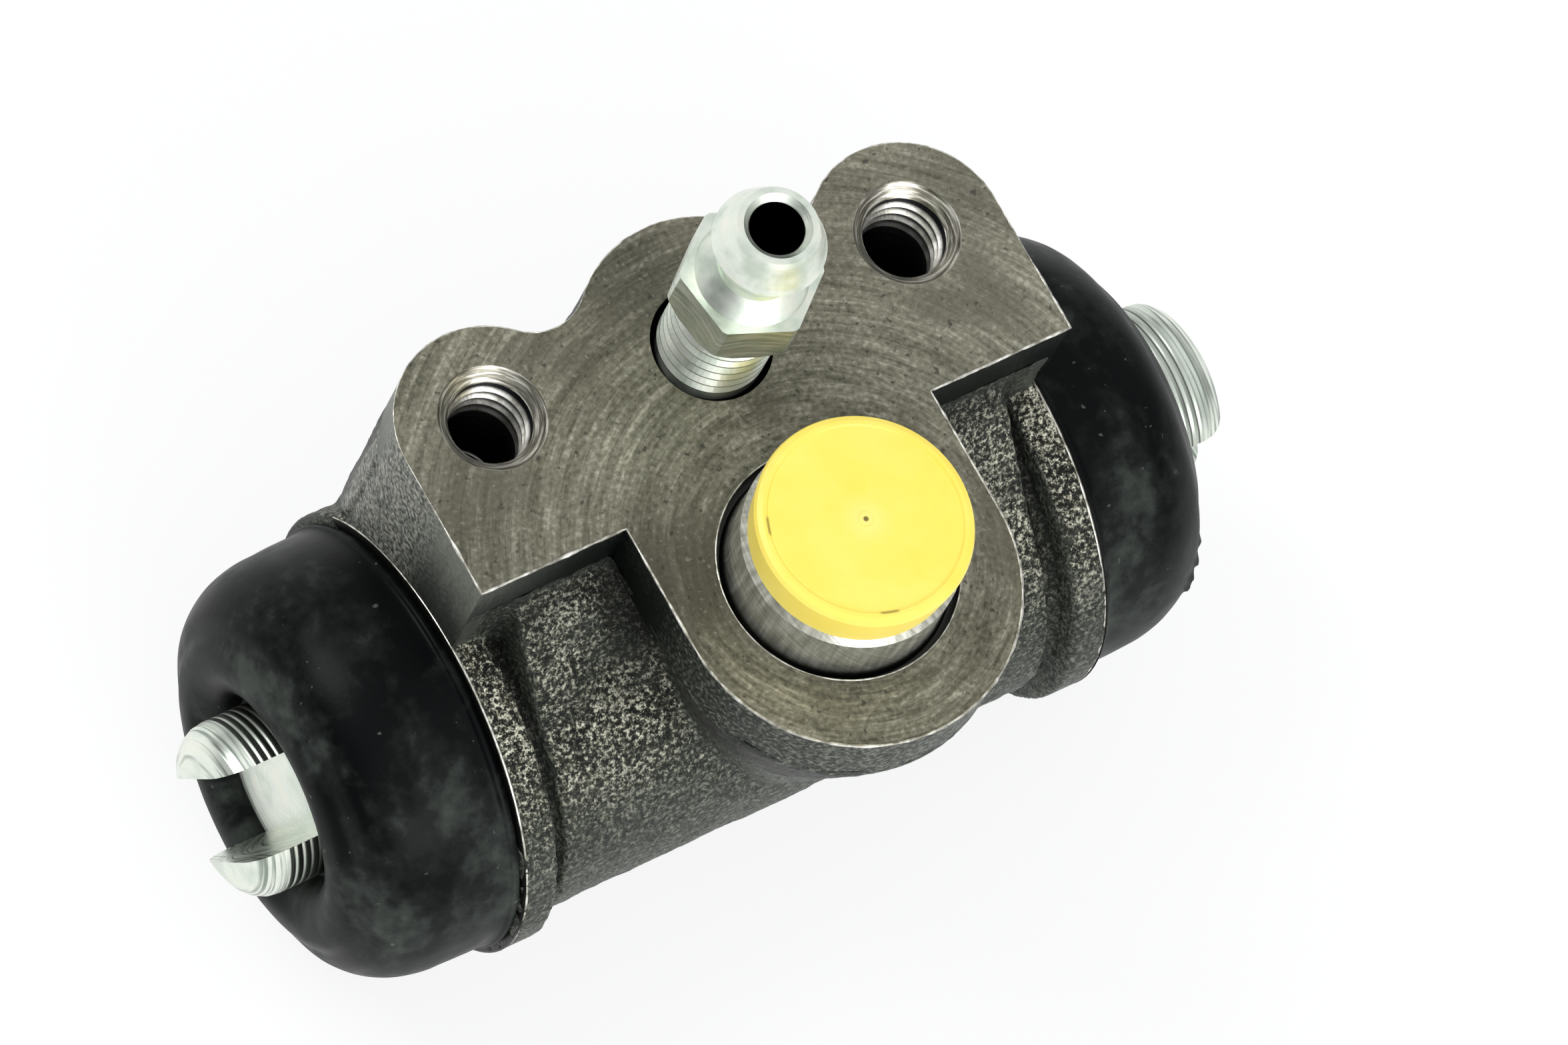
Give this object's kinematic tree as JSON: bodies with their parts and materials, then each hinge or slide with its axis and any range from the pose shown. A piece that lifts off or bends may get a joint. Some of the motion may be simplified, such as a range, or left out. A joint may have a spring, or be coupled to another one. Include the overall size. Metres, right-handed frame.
{
  "type": "drum brake wheel cylinder",
  "caption": "Hydraulic drum-brake wheel cylinder: cast-iron body with a mounting pad, opposed slotted pistons in rubber boots, a bleed screw and a plugged inlet spigot.",
  "frame": {"origin": "on the axis of the inlet spigot, in the plane of the mounting face", "axes": "+X along the bore, +Y in the mounting face from the inlet towards the bleed screw, +Z out of the mounting face"},
  "size_m": [0.072, 0.0365, 0.0566],
  "materials": {
    "iron": "sand cast, with a machined mounting face",
    "piston_steel": "turned and zinc plated",
    "seal_rubber": "moulded",
    "boot_rubber": "moulded, satin",
    "spring_steel": "drawn wire",
    "screw_steel": "turned and zinc plated",
    "plug_plastic": "moulded"
  },
  "bodies": {
    "housing": {"housing": "iron", "left_boot": "boot_rubber", "right_boot": "boot_rubber", "return_spring": "spring_steel"},
    "left_piston": {"left_piston": "piston_steel", "left_cup": "seal_rubber"},
    "right_piston": {"right_piston": "piston_steel", "right_cup": "seal_rubber"},
    "bleed_screw": {"bleed_screw": "screw_steel"},
    "port_plug": {"port_plug": "plug_plastic"}
  },
  "joints": [
    {"name": "left_piston_slide", "type": "slide", "parent": "housing", "child": "left_piston", "axis": [-1, 0, 0], "range_m": [-0.002, 0.006], "deforming": ["left_boot", "return_spring"]},
    {"name": "right_piston_slide", "type": "slide", "parent": "housing", "child": "right_piston", "axis": [1, 0, 0], "range_m": [-0.002, 0.006], "deforming": ["right_boot", "return_spring"]},
    {"name": "bleed_screw_turn", "type": "hinge", "parent": "housing", "child": "bleed_screw", "pos_m": [0, 0.016, 0], "axis": [0, 0, 1], "range_deg": [0, 180]},
    {"name": "port_plug_pull", "type": "slide", "parent": "housing", "child": "port_plug", "axis": [0, 0, 1], "range_m": [0, 0.03]}
  ]
}
